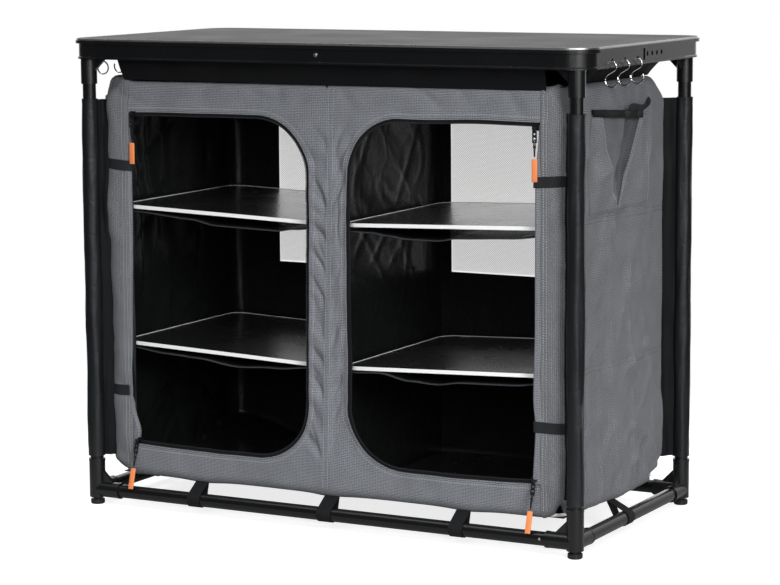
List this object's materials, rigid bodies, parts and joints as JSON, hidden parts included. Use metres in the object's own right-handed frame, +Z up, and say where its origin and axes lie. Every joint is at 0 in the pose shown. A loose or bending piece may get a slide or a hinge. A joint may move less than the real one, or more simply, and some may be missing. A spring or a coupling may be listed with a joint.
{
  "type": "camping cupboard",
  "caption": "Plug-together tube frame with a flat worktop and a zipped grey fabric body hung in it, with shelf compartments, mesh rear windows, levelling feet and utensil hooks.",
  "frame": {"origin": "on the floor, under the middle of the worktop", "axes": "+X to the right along the worktop's length, +Y to the rear, +Z up; the door openings face -Y"},
  "size_m": [0.9916, 0.5, 0.815],
  "materials": {
    "frame_paint": "satin black powder coat",
    "corner_plastic": "moulded, fine texture",
    "foot_plastic": "moulded",
    "worktop_laminate": "satin grey laminate",
    "edge_aluminium": "satin",
    "rivet_metal": "satin",
    "front_fabric": "grey melange weave",
    "side_fabric": "grey melange weave",
    "lining_fabric": "coated black weave",
    "mesh_fabric": "pale knitted mesh",
    "black_webbing": "woven tape",
    "shelf_laminate": "satin dark board",
    "zip_metal": "dark plated",
    "zip_tag": "moulded orange tag on a steel puller",
    "zip_cord": "braided black cord",
    "hook_chrome": "bright wire"
  },
  "bodies": {
    "cupboard": {"top_front_rail": "frame_paint", "top_rear_rail": "frame_paint", "top_left_rail": "frame_paint", "top_right_rail": "frame_paint", "leg_tubes": "frame_paint", "bottom_long_tubes": "frame_paint", "bottom_short_tubes": "frame_paint", "worktop_board": "worktop_laminate", "worktop_edge_strip": "edge_aluminium", "worktop_crossbar": "frame_paint", "rivets": "rivet_metal", "front_left_panel": "front_fabric", "front_right_panel": "front_fabric", "left_side_panel": "side_fabric", "right_side_panel": "side_fabric", "back_panel": "side_fabric", "mesh_windows": "mesh_fabric", "roof_panel": "lining_fabric", "valance_panels": "side_fabric", "floor_panel": "lining_fabric", "centre_partition": "lining_fabric", "leg_sleeves": "side_fabric", "side_pocket": "side_fabric", "shelf_slings": "lining_fabric", "shelf_boards": "shelf_laminate", "floor_boards": "shelf_laminate", "door_rolls": "front_fabric", "tie_straps": "black_webbing", "tube_loops": "black_webbing", "zip_tapes": "black_webbing", "top_corner_front_left": "corner_plastic", "bottom_corner_front_left": "corner_plastic", "top_corner_front_right": "corner_plastic", "bottom_corner_front_right": "corner_plastic", "top_corner_rear_left": "corner_plastic", "bottom_corner_rear_left": "corner_plastic", "top_corner_rear_right": "corner_plastic", "bottom_corner_rear_right": "corner_plastic"},
    "foot_front_left": {"foot_front_left": "foot_plastic"},
    "foot_front_right": {"foot_front_right": "foot_plastic"},
    "foot_rear_left": {"foot_rear_left": "foot_plastic"},
    "foot_rear_right": {"foot_rear_right": "foot_plastic"},
    "s_hook_left_1": {"s_hook_left_1": "hook_chrome"},
    "s_hook_left_2": {"s_hook_left_2": "hook_chrome"},
    "s_hook_left_3": {"s_hook_left_3": "hook_chrome"},
    "s_hook_right_1": {"s_hook_right_1": "hook_chrome"},
    "s_hook_right_2": {"s_hook_right_2": "hook_chrome"},
    "s_hook_right_3": {"s_hook_right_3": "hook_chrome"},
    "zip_slider_top_left": {"zip_slider_top_left": "zip_metal"},
    "zip_pull_top_left": {"zip_pull_top_left": "zip_tag", "zip_cord_top_left": "zip_cord"},
    "zip_slider_top_right": {"zip_slider_top_right": "zip_metal"},
    "zip_pull_top_right": {"zip_pull_top_right": "zip_tag", "zip_cord_top_right": "zip_cord"},
    "zip_slider_bottom_left": {"zip_slider_bottom_left": "zip_metal"},
    "zip_pull_bottom_left": {"zip_pull_bottom_left": "zip_tag", "zip_cord_bottom_left": "zip_cord"},
    "zip_slider_bottom_right": {"zip_slider_bottom_right": "zip_metal"},
    "zip_pull_bottom_right": {"zip_pull_bottom_right": "zip_tag", "zip_cord_bottom_right": "zip_cord"}
  },
  "joints": [
    {"name": "foot_front_left_screw", "type": "slide", "parent": "cupboard", "child": "foot_front_left", "axis": [0, 0, -1], "range_m": [0, 0.01]},
    {"name": "foot_front_right_screw", "type": "slide", "parent": "cupboard", "child": "foot_front_right", "axis": [0, 0, -1], "range_m": [0, 0.01]},
    {"name": "foot_rear_left_screw", "type": "slide", "parent": "cupboard", "child": "foot_rear_left", "axis": [0, 0, -1], "range_m": [0, 0.01]},
    {"name": "foot_rear_right_screw", "type": "slide", "parent": "cupboard", "child": "foot_rear_right", "axis": [0, 0, -1], "range_m": [0, 0.01]},
    {"name": "s_hook_left_1_swing", "type": "hinge", "parent": "cupboard", "child": "s_hook_left_1", "pos_m": [-0.4835, -0.146, 0.79], "axis": [1, 0, 0], "range_deg": [-30, 30]},
    {"name": "s_hook_left_2_swing", "type": "hinge", "parent": "cupboard", "child": "s_hook_left_2", "pos_m": [-0.4835, -0.094, 0.79], "axis": [1, 0, 0], "range_deg": [-30, 30]},
    {"name": "s_hook_left_3_swing", "type": "hinge", "parent": "cupboard", "child": "s_hook_left_3", "pos_m": [-0.4835, -0.042, 0.79], "axis": [1, 0, 0], "range_deg": [-30, 30]},
    {"name": "s_hook_right_1_swing", "type": "hinge", "parent": "cupboard", "child": "s_hook_right_1", "pos_m": [0.4835, -0.146, 0.79], "axis": [1, 0, 0], "range_deg": [-30, 30]},
    {"name": "s_hook_right_2_swing", "type": "hinge", "parent": "cupboard", "child": "s_hook_right_2", "pos_m": [0.4835, -0.094, 0.79], "axis": [1, 0, 0], "range_deg": [-30, 30]},
    {"name": "s_hook_right_3_swing", "type": "hinge", "parent": "cupboard", "child": "s_hook_right_3", "pos_m": [0.4835, -0.042, 0.79], "axis": [1, 0, 0], "range_deg": [-30, 30]},
    {"name": "zip_slider_top_left_run", "type": "slide", "parent": "cupboard", "child": "zip_slider_top_left", "axis": [1, 0, 0], "range_m": [0, 0.236]},
    {"name": "zip_pull_top_left_swing", "type": "hinge", "parent": "zip_slider_top_left", "child": "zip_pull_top_left", "pos_m": [-0.381, -0.2141, 0.686], "axis": [1, 0, 0], "range_deg": [-150, 0]},
    {"name": "zip_slider_top_right_run", "type": "slide", "parent": "cupboard", "child": "zip_slider_top_right", "axis": [-1, 0, 0], "range_m": [0, 0.236]},
    {"name": "zip_pull_top_right_swing", "type": "hinge", "parent": "zip_slider_top_right", "child": "zip_pull_top_right", "pos_m": [0.381, -0.2141, 0.686], "axis": [1, 0, 0], "range_deg": [-150, 0]},
    {"name": "zip_slider_bottom_left_run", "type": "slide", "parent": "cupboard", "child": "zip_slider_bottom_left", "axis": [1, 0, 0], "range_m": [0, 0.236]},
    {"name": "zip_pull_bottom_left_swing", "type": "hinge", "parent": "zip_slider_bottom_left", "child": "zip_pull_bottom_left", "pos_m": [-0.381, -0.2141, 0.117], "axis": [1, 0, 0], "range_deg": [-150, 0]},
    {"name": "zip_slider_bottom_right_run", "type": "slide", "parent": "cupboard", "child": "zip_slider_bottom_right", "axis": [-1, 0, 0], "range_m": [0, 0.236]},
    {"name": "zip_pull_bottom_right_swing", "type": "hinge", "parent": "zip_slider_bottom_right", "child": "zip_pull_bottom_right", "pos_m": [0.381, -0.2141, 0.117], "axis": [1, 0, 0], "range_deg": [-150, 0]}
  ]
}
